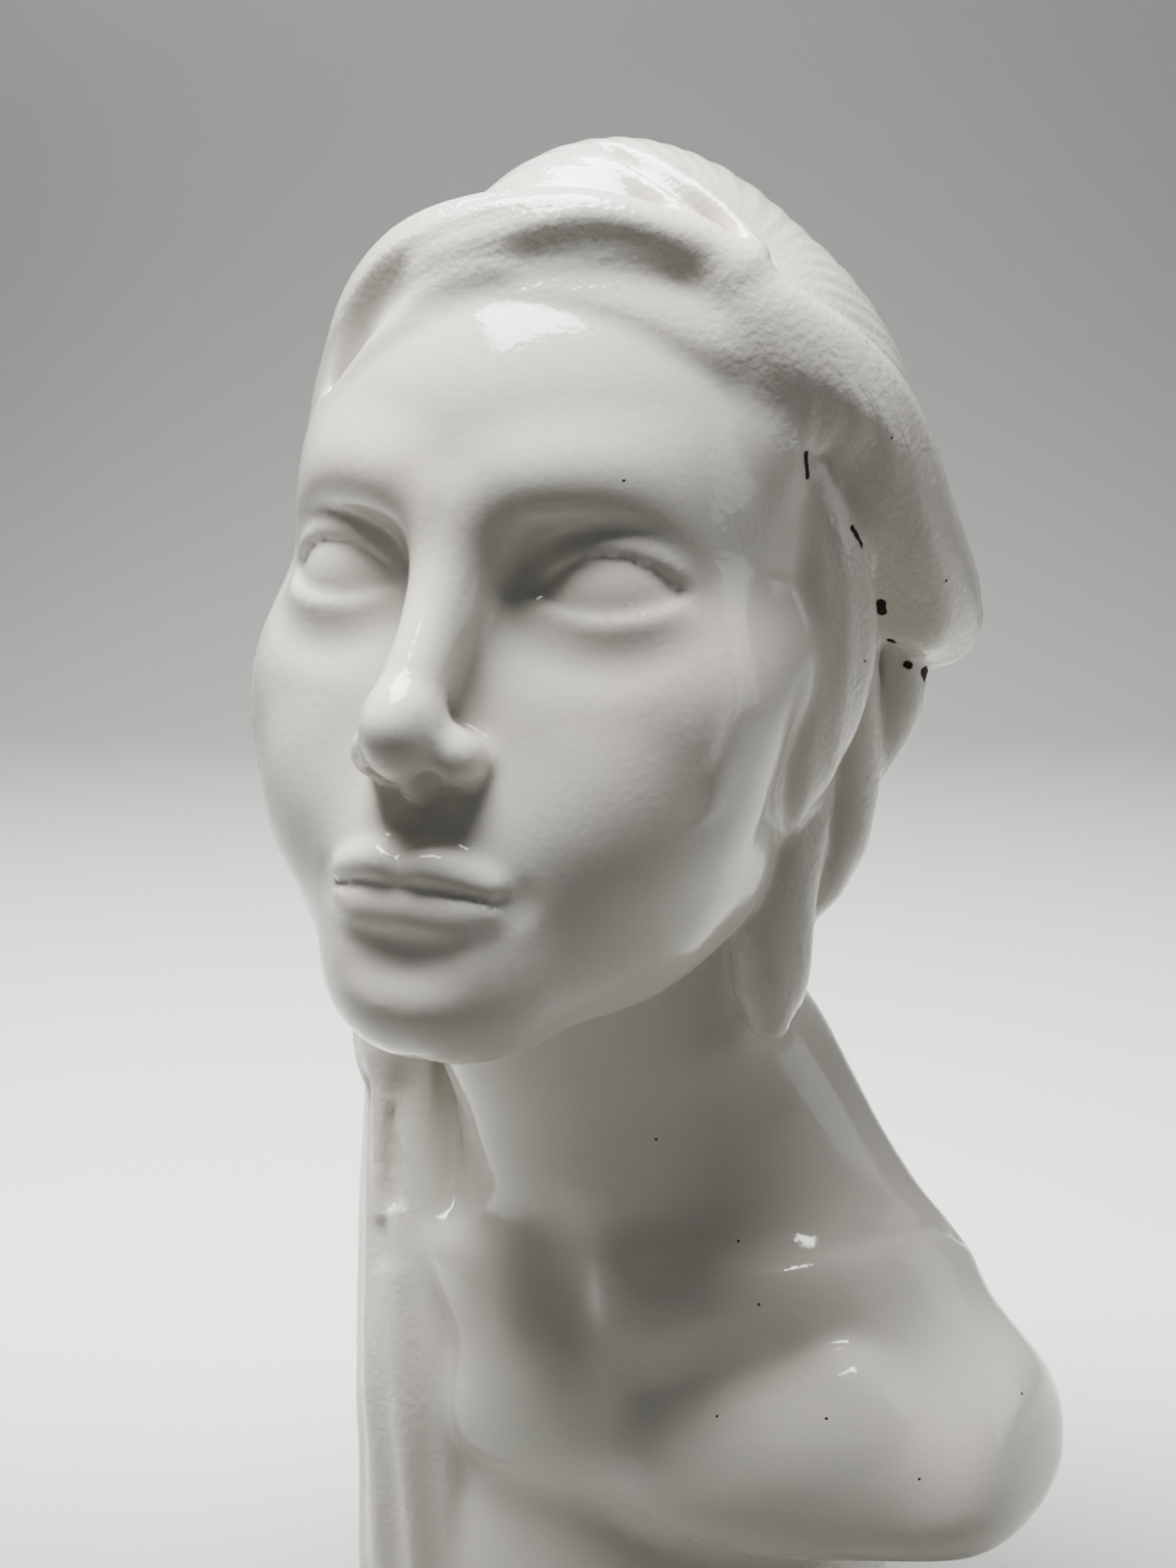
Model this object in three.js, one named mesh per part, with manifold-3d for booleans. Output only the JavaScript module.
// A glazed female bust, cast in one piece: head, swept hair, a long tress and the cut shoulders.
// Millimetres, +Z up. She looks along -Y, and her left side is +X. The origin is under the foot.
// The form is modelled like clay: rounded masses are added and cut away with soft blends, which
// gives one distance from the surface at every point, and one closed skin is drawn over it.
import * as THREE from 'three';
import { SimplifyModifier } from 'three/addons/modifiers/SimplifyModifier.js';
import { mergeVertices } from 'three/addons/utils/BufferGeometryUtils.js';
import Module from 'manifold-3d';

// Driving dimensions. The masses below are drawn for DRAWN_HEAD and scaled to HEAD_HEIGHT.
const HEAD_HEIGHT = 107;                    // chin to crown, without the hair
const DRAWN_HEAD = 107;
const HEAD_PLACE = [-7, -3, 141];           // between the eyes' centres, inside the skull
const HEAD_YAW = 8;                         // degrees, towards her left
const HEAD_PITCH = -10;                     // degrees, chin raised
const HEAD_ROLL = 1.5;                      // degrees, towards her left shoulder
const BODY_PLACE = [-8, 0, 7];              // of the torso's own axes
const SHOULDER_CUT = { middle: 8.3, half: 52.3, round: 5 };
const UNDERSIDE = { height: 18.5, slope: 0.9, round: 10 };  // of the chest, round the foot
const BOX = { low: [-62, -70, -14], high: [62, 58, 210] };
const TRIM = 6;                             // drawn below the underside, then cut off flat

// Spacing of the skin's lattice along each axis: [place, spacing] pairs, closest over the face.
const SPACING = [
  [[-62, 3.6], [-42, 3], [-34, 2.3], [10, 2.2], [24, 2], [34, 2.2], [42, 3], [62, 3.4]],
  [[-70, 1.8], [-44, 1.7], [-22, 2], [-8, 3], [58, 3.4]],
  [[-14, 3.4], [84, 3.1], [96, 2], [158, 2.2], [176, 2], [198, 2], [210, 3]],
];
const TRIANGLES = 9600;                     // of the finished skin
const REACH = 14;                           // how far a mass changes the distance around it
const EMPTY = 1000;                         // distance before anything is added
const TOUCH = 1e-3;                         // distance given to a lattice point whose side is changed

const GLAZE = { color: 0xe4e4de, roughness: 0.16, metalness: 0 };

function softMin(a, b, blend) {
  if (blend <= 0) return Math.min(a, b);
  const h = Math.max(blend - Math.abs(a - b), 0) / blend;
  return Math.min(a, b) - h * h * blend / 4;
}

const softMax = (a, b, blend) => -softMin(-a, -b, blend);

const clamp = (v, low, high) => Math.min(Math.max(v, low), high);

// Value at x of the broken line through [place, value] pairs.
function along(pairs, x) {
  if (x <= pairs[0][0]) return pairs[0][1];
  for (let i = 1; i < pairs.length; i += 1) {
    const [from, a] = pairs[i - 1];
    const [to, b] = pairs[i];
    if (x <= to) return a + (b - a) * (x - from) / (to - from);
  }
  return pairs[pairs.length - 1][1];
}

// Value at x of the smooth curve through [place, value] pairs. Its slope at a pair is the mean of
// the broken line's slopes on both sides, each weighed with the other side's step.
function smoothAlong(pairs, x) {
  const last = pairs.length - 1;
  const at = clamp(x, pairs[0][0], pairs[last][0]);
  const n = clamp(pairs.findIndex(([place]) => at <= place) - 1, 0, last - 1);
  const step = pairs[n + 1][0] - pairs[n][0];
  const t = (at - pairs[n][0]) / step;
  const rise = t * t * (3 - 2 * t);
  return pairs[n][1] * (1 - rise) + pairs[n + 1][1] * rise
    + step * t * (1 - t) * (slopeAt(pairs, n) * (1 - t) - slopeAt(pairs, n + 1) * t);
}

function slopeAt(pairs, n) {
  const slopeTo = (a, b) => (pairs[b][1] - pairs[a][1]) / (pairs[b][0] - pairs[a][0]);
  if (n === 0) return slopeTo(0, 1);
  if (n === pairs.length - 1) return slopeTo(n - 1, n);
  const before = pairs[n][0] - pairs[n - 1][0];
  const after = pairs[n + 1][0] - pairs[n][0];
  return (slopeTo(n - 1, n) * after + slopeTo(n, n + 1) * before) / (before + after);
}

// A rounded mass with three radii, squarer at a higher power.
function egg(centre, radii, power = 2) {
  return {
    middle: centre,
    size: Math.max(...radii) * (power === 2 ? 1 : 1.4),
    distance(p) {
      let sum = 0;
      let slope = 0;
      for (let i = 0; i < 3; i += 1) {
        const q = Math.abs(p[i] - centre[i]);
        sum += (q / radii[i]) ** power;
        slope += (Math.max(q, 1e-6) ** (power - 1) / radii[i] ** power) ** 2;
      }
      const k = sum ** (1 / power);
      return (k - 1) / Math.max(Math.sqrt(slope) * Math.max(k, 1e-6) ** (1 - power), 1e-9);
    },
  };
}

// A round limb from a to b, with a radius at each end.
function limb(a, b, radiusA, radiusB) {
  const run = [b[0] - a[0], b[1] - a[1], b[2] - a[2]];
  const length2 = run[0] ** 2 + run[1] ** 2 + run[2] ** 2;
  return {
    middle: a.map((v, i) => v + run[i] / 2),
    size: Math.sqrt(length2) / 2 + Math.max(radiusA, radiusB),
    distance(p) {
      const q = [p[0] - a[0], p[1] - a[1], p[2] - a[2]];
      const t = clamp((q[0] * run[0] + q[1] * run[1] + q[2] * run[2]) / length2, 0, 1);
      const gap = Math.hypot(q[0] - t * run[0], q[1] - t * run[1], q[2] - t * run[2]);
      return gap - (radiusA + (radiusB - radiusA) * t);
    },
  };
}

// A flattened strand along a smooth path. Each row is x, y, z, half width, half thickness, and
// the flat side faces away from the point `away`. `ridges` combs it lengthwise, `depth` deep.
function strand(rows, away, { ridges = 0, depth = 0, steps = 4 } = {}) {
  const path = sampledPath(rows, steps);
  const middles = path.map((s) => s.middle);
  const middle = [0, 1, 2].map((i) => {
    const v = middles.map((m) => m[i]);
    return (Math.min(...v) + Math.max(...v)) / 2;
  });
  const awayFrom = new THREE.Vector3(...away);
  for (let i = 0; i < path.length; i += 1) {
    const before = new THREE.Vector3(...middles[Math.max(i - 1, 0)]);
    const after = new THREE.Vector3(...middles[Math.min(i + 1, path.length - 1)]);
    const ahead = after.sub(before).normalize();
    const face = new THREE.Vector3(...middles[i]).sub(awayFrom);
    face.addScaledVector(ahead, -face.dot(ahead)).normalize();
    const side = new THREE.Vector3().crossVectors(ahead, face);
    Object.assign(path[i], { ahead: ahead.toArray(), face: face.toArray(), side: side.toArray() });
  }
  const far = Math.max(...path.map((s) => Math.hypot(...s.middle.map((v, i) => v - middle[i]))));
  return {
    middle,
    size: far + Math.max(...path.map((s) => Math.max(s.width, s.thick))),
    distance(p) {
      const [i, f] = nearestPlace(middles, p);
      const a = path[i];
      const b = path[i + 1];
      const width = a.width * (1 - f) + b.width * f;
      const thick = a.thick * (1 - f) + b.thick * f;
      let [u, v, s] = [0, 0, 0];
      for (let n = 0; n < 3; n += 1) {
        const q = p[n] - a.middle[n] * (1 - f) - b.middle[n] * f;
        u += q * (a.side[n] * (1 - f) + b.side[n] * f);
        v += q * (a.face[n] * (1 - f) + b.face[n] * f);
        s += q * (a.ahead[n] * (1 - f) + b.ahead[n] * f);
      }
      const k = Math.hypot(u / width, v / thick, s / thick);
      const slope = Math.hypot(u / width ** 2, v / thick ** 2, s / thick ** 2);
      const across = clamp(u / width, -1, 1);
      const comb = ridges
        ? depth * Math.cos(across * Math.PI * ridges) * clamp(1.2 - Math.abs(across), 0, 1)
        : 0;
      return k * (k - 1) / Math.max(slope, 1e-9) + comb;
    },
  };
}

// The rows' smooth path, sampled `steps` times a span, with the width and thickness on it.
function sampledPath(rows, steps) {
  const curve = new THREE.CatmullRomCurve3(
    rows.map(([x, y, z]) => new THREE.Vector3(x, y, z)), false, 'catmullrom', 0.5);
  const spans = rows.length - 1;
  return Array.from({ length: spans * steps + 1 }, (_, n) => {
    const at = n / steps;
    const i = Math.min(Math.floor(at), spans - 1);
    const f = at - i;
    return {
      middle: curve.getPoint(n / (spans * steps)).toArray(),
      width: rows[i][3] * (1 - f) + rows[i + 1][3] * f,
      thick: rows[i][4] * (1 - f) + rows[i + 1][4] * f,
    };
  });
}

// Index of the nearest span of a broken line to p, and how far along that span.
function nearestPlace(points, p) {
  let best = Infinity;
  let place = [0, 0];
  for (let i = 0; i < points.length - 1; i += 1) {
    const a = points[i];
    const b = points[i + 1];
    const [rx, ry, rz] = [b[0] - a[0], b[1] - a[1], b[2] - a[2]];
    const [qx, qy, qz] = [p[0] - a[0], p[1] - a[1], p[2] - a[2]];
    const t = clamp((qx * rx + qy * ry + qz * rz) / (rx * rx + ry * ry + rz * rz), 0, 1);
    const gap = (qx - t * rx) ** 2 + (qy - t * ry) ** 2 + (qz - t * rz) ** 2;
    if (gap < best) {
      best = gap;
      place = [i, t];
    }
  }
  return place;
}

const add = (form, blend = 0) => ({ form, blend, sign: 1, pair: false });
const cut = (form, blend = 0) => ({ form, blend, sign: -1, pair: false });
const addPair = (form, blend = 0) => ({ form, blend, sign: 1, pair: true });
const cutPair = (form, blend = 0) => ({ form, blend, sign: -1, pair: true });

// Works the steps in order on the distance d at p. A pair is mirrored about x = 0.
function mould(steps, p, d) {
  const mirrored = [Math.abs(p[0]), p[1], p[2]];
  for (const { form, blend, sign, pair } of steps) {
    const q = pair ? mirrored : p;
    const [x, y, z] = form.middle;
    if (Math.hypot(q[0] - x, q[1] - y, q[2] - z) < form.size + REACH + blend) {
      const other = form.distance(q);
      d = sign > 0 ? softMin(d, other, blend) : softMax(d, -other, blend);
    }
  }
  return d;
}

const HEAD_CORE = [0, 4, 10];
const MOUTH_CORE = [0, -25, -34];

const SKULL = [
  add(egg([0, 1, 15], [35, 45.5, 38.5])),
  add(egg([0, -16, 13], [31, 29.5, 27]), 6),
  add(egg([0, -13, -14], [28.5, 30.5, 31]), 8),
  addPair(egg([19, -27.2, -11.5], [11.2, 10.2, 9]), 13),
  addPair(limb([21.5, -25, -9], [26, -8, -2], 7, 6), 8),
  addPair(egg([14, -25.6, -26], [12.3, 12.9, 15]), 14),
  add(egg([0, -36.3, -34], [13.5, 11.6, 12.5]), 9),
  addPair(limb([17.5, -9, -31], [6, -35, -44.8], 7.2, 7), 11),
  add(egg([0, -38.8, -45.4], [8.4, 8.4, 7]), 8),
  addPair(egg([16.2, -33.7, -25.4], [5.8, 5.8, 7.5]), 8),
  add(egg([0, -16, -37], [18, 22, 10.5]), 8),
];

const SOCKETS = [
  cutPair(egg([15.5, -45.6, 1], [9.6, 6, 6.4]), 9),
  addPair(strand([[2.5, -43, 8.4, 2.2, 1.6], [9, -43, 10.4, 2.4, 2], [16.5, -39.8, 11.6, 2.4, 1.5],
    [22.5, -33.6, 10.4, 2, 0.7], [24.5, -26.5, 8.6, 1.4, 0.1]], [15, 0, 0]), 7),
];

const NOSE = [
  add(limb([0, -42.2, 5], [0, -51.2, -14.5], 2.7, 3.7), 7),
  add(egg([0, -52, -17.4], [4.2, 4.9, 4.1]), 3),
  add(egg([0, -48.4, -19.2], [5.4, 5.4, 3.2]), 3),
  addPair(egg([5.2, -47.3, -19.8], [2.3, 4, 2.8]), 2.2),
  add(limb([0, -52, -19.7], [0, -47.4, -22.3], 1.4, 1.7), 2.4),
  cutPair(egg([3.2, -50, -22.9], [1.5, 2.5, 1.9]), 0.8),
];

const MOUTH = [
  cut(limb([0, -51.4, -26], [0, -51.8, -29.6], 1.4, 1.9), 2.2),
  addPair(strand([[0, -48.2, -32.2, 1.7, 2], [3, -48.3, -31.5, 2.2, 2.2], [7.4, -46.5, -32.6, 1.8, 1.7],
    [11, -43.9, -34.2, 0.6, 0.7]], MOUTH_CORE), 2.2),
  addPair(strand([[0, -47.3, -37, 2.7, 2.5], [4.6, -46.6, -36.8, 2.4, 2.3], [8.4, -44.9, -35.7, 1.4, 1.5],
    [10.8, -43.5, -34.8, 0.5, 0.6]], MOUTH_CORE), 2.6),
  cutPair(strand([[0, -50.8, -34.5, 0.4, 1], [4, -50.2, -34, 0.4, 1], [8, -48, -34.4, 0.4, 0.9],
    [10.8, -45.4, -34.7, 0.3, 0.5]], MOUTH_CORE), 0.9),
  cutPair(egg([12.6, -45.2, -34.7], [1.2, 1.4, 1.4]), 2.6),
  cut(egg([0, -51.6, -42], [6.6, 3.9, 2.4]), 5),
];

// The eyes: a ball under two lids, which part in an almond turned a little outwards.
// The lids' edges lean by the bevel.
const EYE = {
  centre: [15.4, -32.8, -0.2],
  ball: 8.2,
  lid: 9.5,
  halfWidth: 8.4,
  up: 3.7,
  down: 2.5,
  turn: 13,
  slant: 0.06,
  bevel: 0.6,
  blend: 1.8,
  near: 22,
};

function eyes(p, d) {
  const q = [Math.abs(p[0]) - EYE.centre[0], p[1] - EYE.centre[1], p[2] - EYE.centre[2]];
  const radius = Math.hypot(...q);
  if (radius > EYE.near) return d;
  const turn = THREE.MathUtils.degToRad(-EYE.turn);
  const across = q[0] * Math.cos(turn) - q[1] * Math.sin(turn);
  const height = q[2] - EYE.slant * across;
  const bow = clamp(1 - Math.abs(across / EYE.halfWidth) ** 2.2, -1.5, 1);
  const opening = -softMin(EYE.up * bow - height, height + EYE.down * bow, 0.8) * 0.8;
  const lid = EYE.lid + 0.2 * clamp(q[2] / 3, -1, 1);
  const edge = EYE.bevel * (radius - EYE.ball) - opening;
  const eye = softMin(softMax(radius - lid, edge, 1), radius - EYE.ball, 0.3);
  return softMin(d, eye, EYE.blend * (1 + 1.2 * clamp(0.3 - q[2] / 4, 0, 1)));
}

// The hair's lower mass, then the upper mass that ends in a ledge over it. The left ledge also
// rises outwards from LEDGE_EDGE, as its slope says.
const LOWER_HAIR = [
  add(egg([0, 6, 14], [36.5, 42, 38])),
  add(limb([0, 20, 2], [-2, 17, -32], 25, 16), 12),
];
const FACE_WINDOW = egg([1, -50, -5], [34.5, 36, 37], 3);
const LEDGE_LEFT = [[-46, 44], [-34, 31], [-27, 24.5], [-22.5, 20.3], [-18, 16.8], [-10, 8.6], [0, 0.8],
  [6, -3.6], [13, -6.4], [21, -7], [45, -14]];
const LEDGE_SLOPE = [[-46, 0.35], [-10, 0.35], [0, 0.3], [8, 0.1], [14, 0], [45, 0]];
const LEDGE_RIGHT = [[-46, 40], [-34, 26], [-28, 16], [-23, 4], [-15, -6], [-2, -14], [18, -18], [45, -18]];
const LEDGE_EDGE = 33;

const ROLL = strand([[24, -27.5, 37.8, 3, 2.8], [16, -32.6, 39.6, 4, 3.6], [7, -36, 40, 4.8, 4.2],
  [-3, -36.4, 39, 5.4, 4.4], [-13, -34.8, 36, 5.8, 4.6], [-21, -29.5, 30, 5.6, 4.6], [-26.5, -23, 21, 5, 4.2],
  [-30, -17, 10, 4.4, 4], [-31, -12, -3, 4, 3.8]], HEAD_CORE);
const RIM = strand([[-27, -22, 4, 2, 1.4], [-22.5, -30.6, 15, 2.4, 1.8], [-16.5, -36.8, 24.6, 3, 2.4],
  [-10, -38.6, 29.4, 3.4, 2.6], [-3, -38, 32.6, 3.4, 2.5], [4, -37, 33.8, 3, 2.2], [11, -35.8, 32.8, 3.2, 2],
  [17, -33.8, 31, 3.4, 2], [22.5, -31, 28.4, 3, 2], [26.5, -27.6, 25, 2.4, 1.8]], HEAD_CORE);
const WAVE = strand([[24.5, -28.5, 35.5, 3.8, 3], [28.5, -26, 31, 6, 4], [33.5, -20.5, 25, 8.5, 4.8],
  [36.5, -13, 18, 9.5, 5.4], [38.5, -3, 10.5, 8.5, 5.6], [40, 6.5, 5, 7, 5.2], [40, 14, 2, 5.5, 4.4]],
[0, 2, 26]);
const UPPER_HAIR = [
  add(egg([1, 1, 16], [36.6, 45.5, 38.5])),
  add(egg([3, -10, 44], [13, 18, 10.5]), 10),
  add(WAVE, 5),
];

const FRONT_HAIR = [
  add(ROLL, 3),
  add(RIM, 2.5),
  cut(strand([[0.5, -42, 35.2, 0.6, 0.5], [6, -42.2, 37, 2, 2], [12, -40.4, 38.2, 2.2, 2.4],
    [17.5, -37.2, 37.6, 1.6, 1.8], [21, -34.2, 36, 0.5, 0.4]], HEAD_CORE), 1.6),
  add(strand([[-9, -38.6, 33.4, 1.4, 0.8], [-4.5, -39.2, 35, 2, 1.3], [0, -39.2, 36, 1.4, 0.8]],
    HEAD_CORE), 4),
  cut(strand([[-10.5, -43.6, 35.6, 1, 0.4], [-13, -42, 33, 2.4, 1.8], [-17.5, -38.8, 28.2, 2, 1.6],
    [-21.5, -33.6, 20.5, 1.2, 0.8]], HEAD_CORE), 3),
  cut(strand([[22.5, -27.6, 41, 1, 0.8], [17.5, -27.4, 45, 1.5, 1.3], [11.5, -26, 48.6, 1.7, 1.2],
    [4, -23, 51.8, 1, 0.6]], HEAD_CORE), 1.5),
  add(strand([[24, -28.6, 38.6, 1.1, 1.2], [18.5, -29.6, 42.6, 1.1, 1.2], [12.5, -28.6, 46.2, 1.1, 1.1],
    [6, -25.8, 49.6, 1.1, 0.9], [0, -21, 52, 1, 0.5]], HEAD_CORE), 1.4),
  add(strand([[25.5, -26, 39.6, 1.2, 1.2], [21.5, -24.6, 43.4, 1.2, 1.3], [16, -23.4, 47.4, 1.2, 1.2],
    [9.5, -21.4, 50.8, 1.1, 0.9], [3, -18, 53, 1, 0.5]], HEAD_CORE), 1.4),
];

const SIDE_LOCKS = [
  add(egg([26.8, -23.4, 21], [5.4, 5, 9]), 4),
  add(strand([[35.5, 11, 3, 4, 3], [34.8, 13.4, -8, 4.4, 3.6], [32.4, 14.2, -16, 3, 2.6],
    [30.6, 13.4, -20, 1.4, 1.4]], HEAD_CORE), 1.5),
  add(strand([[31, 4, -2, 4, 3.4], [31, 7.6, -13, 4.4, 3.8], [30.4, 9.8, -23, 5, 4],
    [28.6, 9, -30.5, 4.4, 3.6], [26.6, 7.6, -36, 2, 2]], HEAD_CORE), 1.5),
  add(strand([[30.5, -17.5, 16, 4.6, 3.6], [32.6, -12.6, 5.5, 6, 3.8], [32.8, -8, -4, 6.8, 3.8],
    [30.8, -5.2, -12, 6.2, 3.8], [27.4, -3.6, -20, 4.8, 3.6], [24, -2.6, -26.5, 3, 2.8]], HEAD_CORE), 1.5),
  add(strand([[27, 2.4, -16, 4, 3.2], [26.6, 0.8, -25, 5.2, 3.8], [26, 0, -35, 5.4, 3.9],
    [26.2, 0.6, -42, 4.9, 3.7], [26.2, 1, -45.6, 4.4, 3.4], [26.2, 1.2, -48, 3.3, 2.8],
    [26.2, 1.3, -48.8, 2.8, 2.5]], [6, 22, -32]), 1.2),
  add(limb([26.6, 6, -36], [26.8, 4.6, -46], 2.6, 2.4), 1.5),
];

// Broad strands round the back of the head, gathered into the tress over her right shoulder.
const SWEPT_STRANDS = [
  add(strand([[18, 30, 38, 5, 2], [2, 42, 26, 9, 3.2], [-16, 41, 8, 9.5, 3.4], [-29, 27, -10, 9, 3.6],
    [-34, 13, -27, 8, 4], [-33.5, 15, -42, 7, 5]], HEAD_CORE), 3),
  add(strand([[-24, -14, 34, 5, 2], [-34, -3, 16, 7.5, 3], [-36, 5, -6, 8, 3.6], [-34.5, 10, -26, 7.5, 4.4],
    [-33.3, 14, -44, 7, 5]], HEAD_CORE), 3),
  add(strand([[28, 32, 18, 5, 2], [14, 44, 6, 8, 3.2], [-6, 43, -10, 8.5, 4], [-23, 30, -26, 8, 5],
    [-31.5, 20, -38, 7.5, 5.5], [-33.3, 16, -50, 7, 5.5]], HEAD_CORE), 3),
  add(strand([[31, 22, -4, 4, 2.5], [20, 34, -14, 7, 4], [2, 36, -25, 8, 5.5], [-15, 30, -37, 8, 6],
    [-28, 22, -50, 7, 6], [-33, 17, -62, 6, 5.5]], HEAD_CORE), 3),
];

function ledge(x, y) {
  if (x <= 0) return smoothAlong(LEDGE_RIGHT, y);
  return smoothAlong(LEDGE_LEFT, y) + smoothAlong(LEDGE_SLOPE, y) * (x - LEDGE_EDGE);
}

function hair(p, d) {
  const upper = softMax(mould(UPPER_HAIR, p, EMPTY), (ledge(p[0], p[1]) - p[2]) * 0.75, 1.5);
  const whole = softMin(mould(LOWER_HAIR, p, EMPTY), upper, 1.2);
  const framed = softMax(whole, -FACE_WINDOW.distance(p), 1.5);
  return mould([...FRONT_HAIR, ...SIDE_LOCKS, ...SWEPT_STRANDS], p, softMin(d, framed, 1.2));
}

const headTurn = new THREE.Matrix4().makeRotationFromEuler(new THREE.Euler(
  ...[HEAD_PITCH, HEAD_ROLL, HEAD_YAW].map(THREE.MathUtils.degToRad), 'ZXY'));
const headToModel = new THREE.Matrix4().makeTranslation(...HEAD_PLACE).multiply(headTurn);
const modelToHead = headToModel.clone().invert();
const headInBody = (x, y, z) => new THREE.Vector3(x, y, z).applyMatrix4(headToModel)
  .sub(new THREE.Vector3(...BODY_PLACE)).toArray();

const TORSO = [
  add(limb(headInBody(0, 2, -20), [-2, -1, 84], 21.5, 21)),
  add(limb([-2, -1, 84], [4, 8, 48], 21, 23.5), 4),
  add(limb([15, 8, 71.5], [46, 5, 31], 12.5, 13.5), 14),
  add(limb([-9, 12, 70], [-33, 13, 30], 12.5, 13), 14),
  add(egg([8, 7, 28], [42, 23, 34]), 12),
  add(egg([48, 2, 29], [15.5, 16.5, 15]), 8),
];
const CHEST = [
  add(egg([27, -8, 24], [18, 14, 15]), 14),
  add(egg([-6, -7, 26], [16, 14, 15]), 12),
  add(egg([6, -8, 37], [16, 11.4, 14]), 12),
  add(limb(headInBody(24, 4, -26), [8, 2, 60], 4, 1), 14),
  add(limb(headInBody(-24, 4, -26), [-2, 2, 60], 4, 1), 14),
  add(strand([[8, -13.6, 45.6, 3, 1.2], [18, -16.6, 47.4, 3.8, 2], [28, -14.2, 50.4, 3.8, 2],
    [36, -8.6, 51.6, 3, 1.3], [40, -1, 48.6, 2, 0.5], [41, 6, 44, 1, 0.2]], [20, 10, 48]), 9),
  add(strand([[-1, -15, 46.4, 3.2, 1.8], [-11, -16, 46.6, 3.4, 1.9], [-21, -11.5, 46.4, 3, 1.8],
    [-29, -5, 47, 2.6, 1.4]], [-10, 10, 48]), 9),
  cut(egg([4.6, -21, 50], [2.2, 1.9, 4.4]), 8),
  cut(strand([[20, -23.6, 40.6, 1.8, 1.4], [31, -19.4, 45.6, 2.2, 1.6], [40.5, -13.4, 49.2, 1.6, 0.6]],
    [20, 10, 48]), 6),
  add(egg([41.5, -12.5, 41.5], [4.2, 3, 4.6]), 5),
  add(strand([[14, -14, 22, 2, 0.6], [23, -20.6, 29, 3.5, 2.6], [34, -18, 35, 4.4, 3.6],
    [43, -13, 36, 3.5, 3]], [20, 10, 30]), 9),
];
const FOOT = egg([2, 2, 0], [35, 25, 32], 2.6);
const TRESS_CORE = [-22, 20, 40];
const TRESS = [
  add(limb([-22, 6, 104], [-24, 8, 68], 8, 9), 3),
  add(strand([[-27.8, -18.6, 145, 4.5, 3.6], [-30.2, -15.5, 128.5, 6.5, 4.4], [-31.2, -11.5, 113.5, 7.5, 5],
    [-32.6, -7, 100, 7.5, 5.6], [-34.4, -3, 88, 7.5, 6], [-34.6, 0, 77, 7.5, 6], [-33, 0.3, 66, 7.8, 6],
    [-29, -5.5, 54, 8.4, 6], [-24.8, -11.5, 42, 8.6, 5.8], [-21.5, -16.2, 30, 8.6, 5.8],
    [-19.4, -18.5, 18, 8.6, 5.6], [-18.4, -19.5, 5, 8.6, 5.6], [-18, -19.5, -10, 8.6, 5.6]],
  TRESS_CORE, { ridges: 3, depth: 0.7 }), 1.5),
  add(strand([[-34.4, -4.6, 80, 1, 0.8], [-33.4, -6.6, 70, 1.3, 1.2], [-31.4, -9.6, 60, 1.3, 1.2],
    [-28.8, -13, 51, 1, 0.8]], TRESS_CORE), 1.6),
  add(strand([[-28.6, -2.4, 76, 1, 0.8], [-27.4, -4.6, 67, 1.5, 1.3], [-25.2, -8, 57, 1.5, 1.3],
    [-22.6, -12, 47, 1.1, 0.8]], TRESS_CORE), 1.6),
  cut(strand([[-30.4, -7.6, 64, 0.4, 0.4], [-28.4, -10.6, 57.5, 1.1, 1.3], [-27, -12.6, 53.5, 1.4, 1.5]],
    TRESS_CORE), 1.2),
  add(strand([[-24.4, -16.4, 44, 1.6, 1], [-22, -20, 33, 2.4, 1.3], [-21, -22, 20, 2.2, 1],
    [-20.6, -22.6, 8, 1.8, 0.6]], TRESS_CORE), 2.4),
];

function body(p) {
  let d = mould(TORSO, p, EMPTY);
  d = softMax(d, Math.abs(p[0] - SHOULDER_CUT.middle) - SHOULDER_CUT.half, SHOULDER_CUT.round);
  d = mould(CHEST, p, d);
  d = softMax(d, (UNDERSIDE.height - p[2]) * UNDERSIDE.slope, UNDERSIDE.round);
  return mould(TRESS, p, softMin(d, FOOT.distance(p), 3));
}

// Distance of a point from the bust's surface, negative inside.
function bust(point) {
  const p = new THREE.Vector3(...point).applyMatrix4(modelToHead).toArray();
  let head = mould(SOCKETS, p, mould(SKULL, p, EMPTY));
  head = hair(p, mould(MOUTH, p, mould(NOSE, p, eyes(p, head))));
  const torso = body(point.map((v, i) => v - BODY_PLACE[i]));
  return Math.max(softMin(head, torso, 2.5), -TRIM - point[2]);
}

// Places of the lattice's planes along one axis, spaced as its pairs say.
function latticePlanes(spacing, low, high) {
  const planes = [low];
  while (planes[planes.length - 1] < high) {
    const at = planes[planes.length - 1];
    planes.push(at + along(spacing, at));
  }
  return planes;
}

const CORNERS = [0, 1, 2, 3, 4, 5, 6, 7].map((n) => [n & 1, (n >> 1) & 1, (n >> 2) & 1]);
const FACES = [[0, 1, 2, 3], [4, 5, 6, 7], [0, 1, 4, 5], [2, 3, 6, 7], [0, 2, 4, 6], [1, 3, 5, 7]];

// Distances at the lattice's points, with no face or cell left that two sheets could share.
function sampledLattice(distance, axes) {
  const count = axes.map((planes) => planes.length);
  const index = (i, j, k) => (i * count[1] + j) * count[2] + k;
  const values = new Float64Array(count[0] * count[1] * count[2]);
  for (let i = 0; i < count[0]; i += 1) {
    for (let j = 0; j < count[1]; j += 1) {
      for (let k = 0; k < count[2]; k += 1) {
        values[index(i, j, k)] = distance([axes[0][i], axes[1][j], axes[2][k]]);
      }
    }
  }
  const lattice = { values, index, count };
  while (partSheets(lattice));
  fillHollows(lattice);
  return lattice;
}

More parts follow.
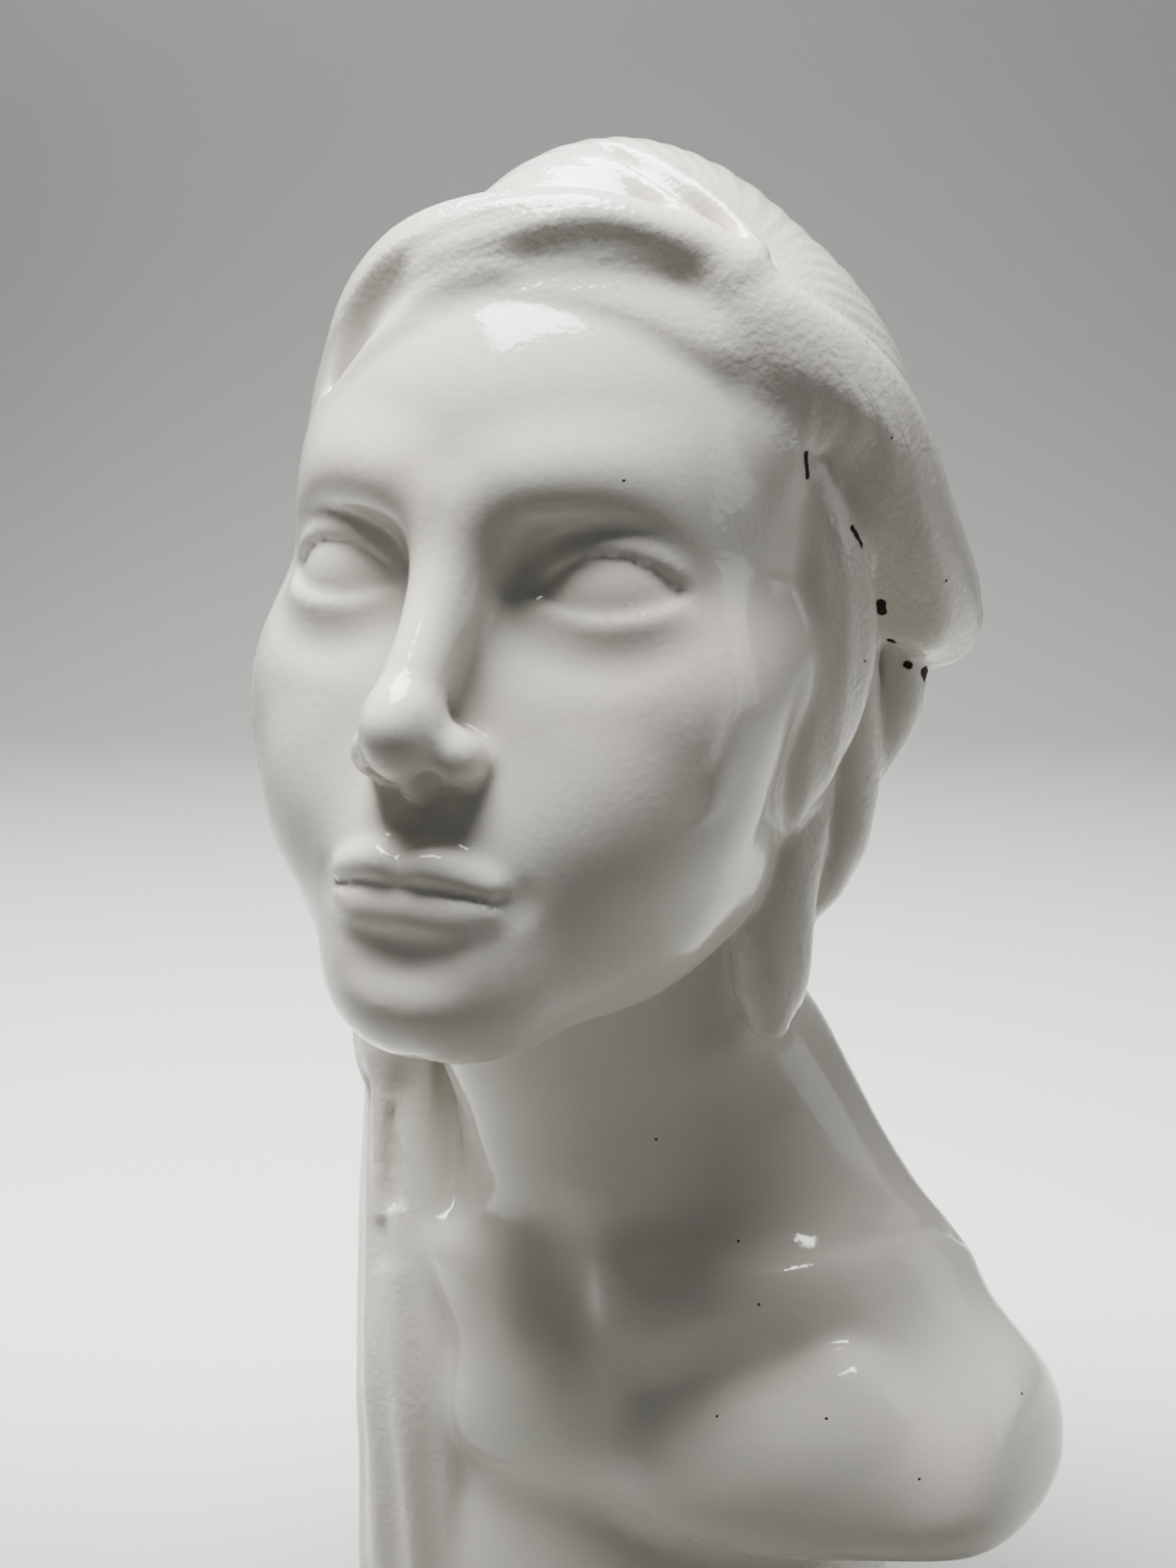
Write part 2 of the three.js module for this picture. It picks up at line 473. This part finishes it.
// Fills what the air outside doesn't reach.
function fillHollows({ values, index, count }) {
  const reached = new Uint8Array(values.length);
  const waiting = [[0, 0, 0]];
  while (waiting.length) {
    const place = waiting.pop();
    const n = index(...place);
    if (!reached[n] && values[n] >= 0) {
      reached[n] = 1;
      for (let axis = 0; axis < 3; axis += 1) {
        for (const step of [-1, 1]) {
          const next = place.map((v, m) => (m === axis ? v + step : v));
          if (next[axis] >= 0 && next[axis] < count[axis]) waiting.push(next);
        }
      }
    }
  }
  reached.forEach((outside, n) => {
    if (!outside && values[n] >= 0) values[n] = -TOUCH;
  });
}

// Fills a corner of every cell that two sheets share, and says whether it found one.
function partSheets({ values, index, count }) {
  let changed = false;
  for (let i = 0; i < count[0] - 1; i += 1) {
    for (let j = 0; j < count[1] - 1; j += 1) {
      for (let k = 0; k < count[2] - 1; k += 1) {
        const cell = CORNERS.map(([a, b, c]) => index(i + a, j + b, k + c));
        const shared = sharedCorner(cell, values);
        if (shared >= 0) {
          values[shared] = -TOUCH;
          changed = true;
        }
      }
    }
  }
  return changed;
}

// The outer corner nearest to the surface in a cell where two sheets would meet at one point, or -1.
function sharedCorner(cell, values) {
  const inside = cell.map((n) => values[n] < 0);
  const nearest = (corners) => corners.filter((c) => !inside[c]).map((c) => cell[c])
    .reduce((a, b) => (values[b] < values[a] ? b : a));
  for (const [a, b, c, d] of FACES) {
    if (inside[a] === inside[d] && inside[b] === inside[c] && inside[a] !== inside[b]) {
      return nearest([a, b, c, d]);
    }
  }
  const number = inside.filter(Boolean).length;
  if (number === 2 || number === 6) {
    const odd = number === 2;
    for (let c = 0; c < 4; c += 1) {
      if (inside[c] === odd && inside[7 - c] === odd) return nearest([...cell.keys()]);
    }
  }
  return -1;
}

// Draws one vertex in every cell that the surface passes through and one quad across every
// lattice edge that it crosses, then settles the vertices on the surface.
function skin(distance, axes) {
  const { values, index, count } = sampledLattice(distance, axes);
  const vertices = [];
  const vertexOf = new Map();
  for (let i = 0; i < count[0] - 1; i += 1) {
    for (let j = 0; j < count[1] - 1; j += 1) {
      for (let k = 0; k < count[2] - 1; k += 1) {
        const centre = cellVertex(i, j, k, values, index, axes);
        if (centre) {
          vertexOf.set(index(i, j, k), vertices.length);
          vertices.push(centre);
        }
      }
    }
  }
  const quads = [];
  for (let i = 1; i < count[0] - 1; i += 1) {
    for (let j = 1; j < count[1] - 1; j += 1) {
      for (let k = 1; k < count[2] - 1; k += 1) {
        const here = values[index(i, j, k)] < 0;
        [[1, 0, 0], [0, 1, 0], [0, 0, 1]].forEach(([a, b, c], axis) => {
          if (here === values[index(i + a, j + b, k + c)] < 0) return;
          const u = [[0, 1, 0], [0, 0, 1], [1, 0, 0]][axis];
          const v = [[0, 0, 1], [1, 0, 0], [0, 1, 0]][axis];
          const at = (m, n) => vertexOf.get(
            index(i - m * u[0] - n * v[0], j - m * u[1] - n * v[1], k - m * u[2] - n * v[2]));
          const quad = [at(1, 1), at(0, 1), at(0, 0), at(1, 0)];
          quads.push(here ? quad : quad.reverse());
        });
      }
    }
  }
  return { vertices, quads };
}

// Mean of the places where the surface crosses a cell's edges, or null.
function cellVertex(i, j, k, values, index, axes) {
  const sum = [0, 0, 0];
  let crossings = 0;
  for (const a of CORNERS) {
    for (let axis = 0; axis < 3; axis += 1) {
      if (!a[axis]) {
        const b = a.map((v, n) => (n === axis ? 1 : v));
        const fa = values[index(i + a[0], j + a[1], k + a[2])];
        const fb = values[index(i + b[0], j + b[1], k + b[2])];
        if (fa < 0 !== fb < 0) {
          const t = fa / (fa - fb);
          [i, j, k].forEach((n, m) => {
            const from = axes[m][n + a[m]];
            sum[m] += from + (axes[m][n + b[m]] - from) * t;
          });
          crossings += 1;
        }
      }
    }
  }
  return crossings ? sum.map((v) => v / crossings) : null;
}

const PROBE = 0.05;                         // step that the slope is measured over
const LEAST_SLOPE = 0.3;

// Moves a vertex along the slope until it lies on the surface, at most `limit` a step.
function settle(distance, p, limit) {
  for (let n = 0; n < 2; n += 1) {
    const d = distance(p);
    const slope = p.map((_, m) => (distance(p.map((v, i) => (i === m ? v + PROBE : v))) - d) / PROBE);
    const length = Math.max(Math.hypot(...slope), LEAST_SLOPE);
    const move = clamp(-d / length, -limit, limit);
    p = p.map((v, m) => v + slope[m] / length * move);
  }
  return p;
}

// Evens out the vertices along the surface and keeps them on it.
function finish({ vertices, quads }, distance, rounds = 2) {
  const neighbours = vertices.map(() => new Set());
  quads.forEach((quad) => quad.forEach((v, n) => {
    neighbours[v].add(quad[(n + 1) % 4]);
    neighbours[v].add(quad[(n + 3) % 4]);
  }));
  let points = vertices.map((p) => settle(distance, p, 1.5));
  for (let round = 0; round < rounds; round += 1) {
    const eased = points.map((p, v) => {
      const around = [...neighbours[v]];
      return p.map((c, m) => c * 0.5 + around.reduce((s, n) => s + points[n][m], 0) / around.length * 0.5);
    });
    points = eased.map((p) => settle(distance, p, 1));
  }
  return points;
}

// Splits a quad along its shorter diagonal.
function triangles(quad, points) {
  const [a, b, c, d] = quad;
  const span = (m, n) => Math.hypot(...points[m].map((v, i) => v - points[n][i]));
  return span(a, c) < span(b, d) ? [a, b, c, a, c, d] : [a, b, d, b, c, d];
}

const wasm = await Module();
wasm.setup();

function solid(geometry) {
  geometry.deleteAttribute('normal');
  geometry.deleteAttribute('uv');
  const merged = mergeVertices(geometry, 1e-4);
  return new wasm.Manifold(new wasm.Mesh({
    numProp: 3,
    vertProperties: new Float32Array(merged.attributes.position.array),
    triVerts: new Uint32Array(merged.index.array),
  }));
}

function toGeometry(shape) {
  const { vertProperties, triVerts } = shape.getMesh();
  const geometry = new THREE.BufferGeometry();
  geometry.setAttribute('position', new THREE.BufferAttribute(vertProperties, 3));
  geometry.setIndex(new THREE.BufferAttribute(triVerts, 1));
  geometry.computeVertexNormals();
  return geometry;
}

// The skin with only as many triangles as the form needs, sawn off flat at the underside.
async function bustGeometry() {
  const axes = SPACING.map((spacing, n) => latticePlanes(spacing, BOX.low[n], BOX.high[n]));
  const drawn = skin(bust, axes);
  const points = finish(drawn, bust);
  const geometry = new THREE.BufferGeometry();
  const scale = HEAD_HEIGHT / DRAWN_HEAD;
  geometry.setAttribute('position', new THREE.Float32BufferAttribute(points.flat().map((v) => v * scale), 3));
  geometry.setIndex(drawn.quads.flatMap((quad) => triangles(quad, points)));
  const kept = TRIANGLES / (drawn.quads.length * 2);
  const lighter = await new SimplifyModifier().modify(geometry, points.length * (1 - kept));
  const saw = new THREE.BoxGeometry(300, 300, 60).translate(0, 0, -30);
  return toGeometry(solid(lighter).subtract(solid(saw)));
}

const figure = new THREE.Mesh(await bustGeometry(), new THREE.MeshStandardMaterial(GLAZE));
figure.name = 'bust';

const model = new THREE.Group();
model.add(figure);

export default model;
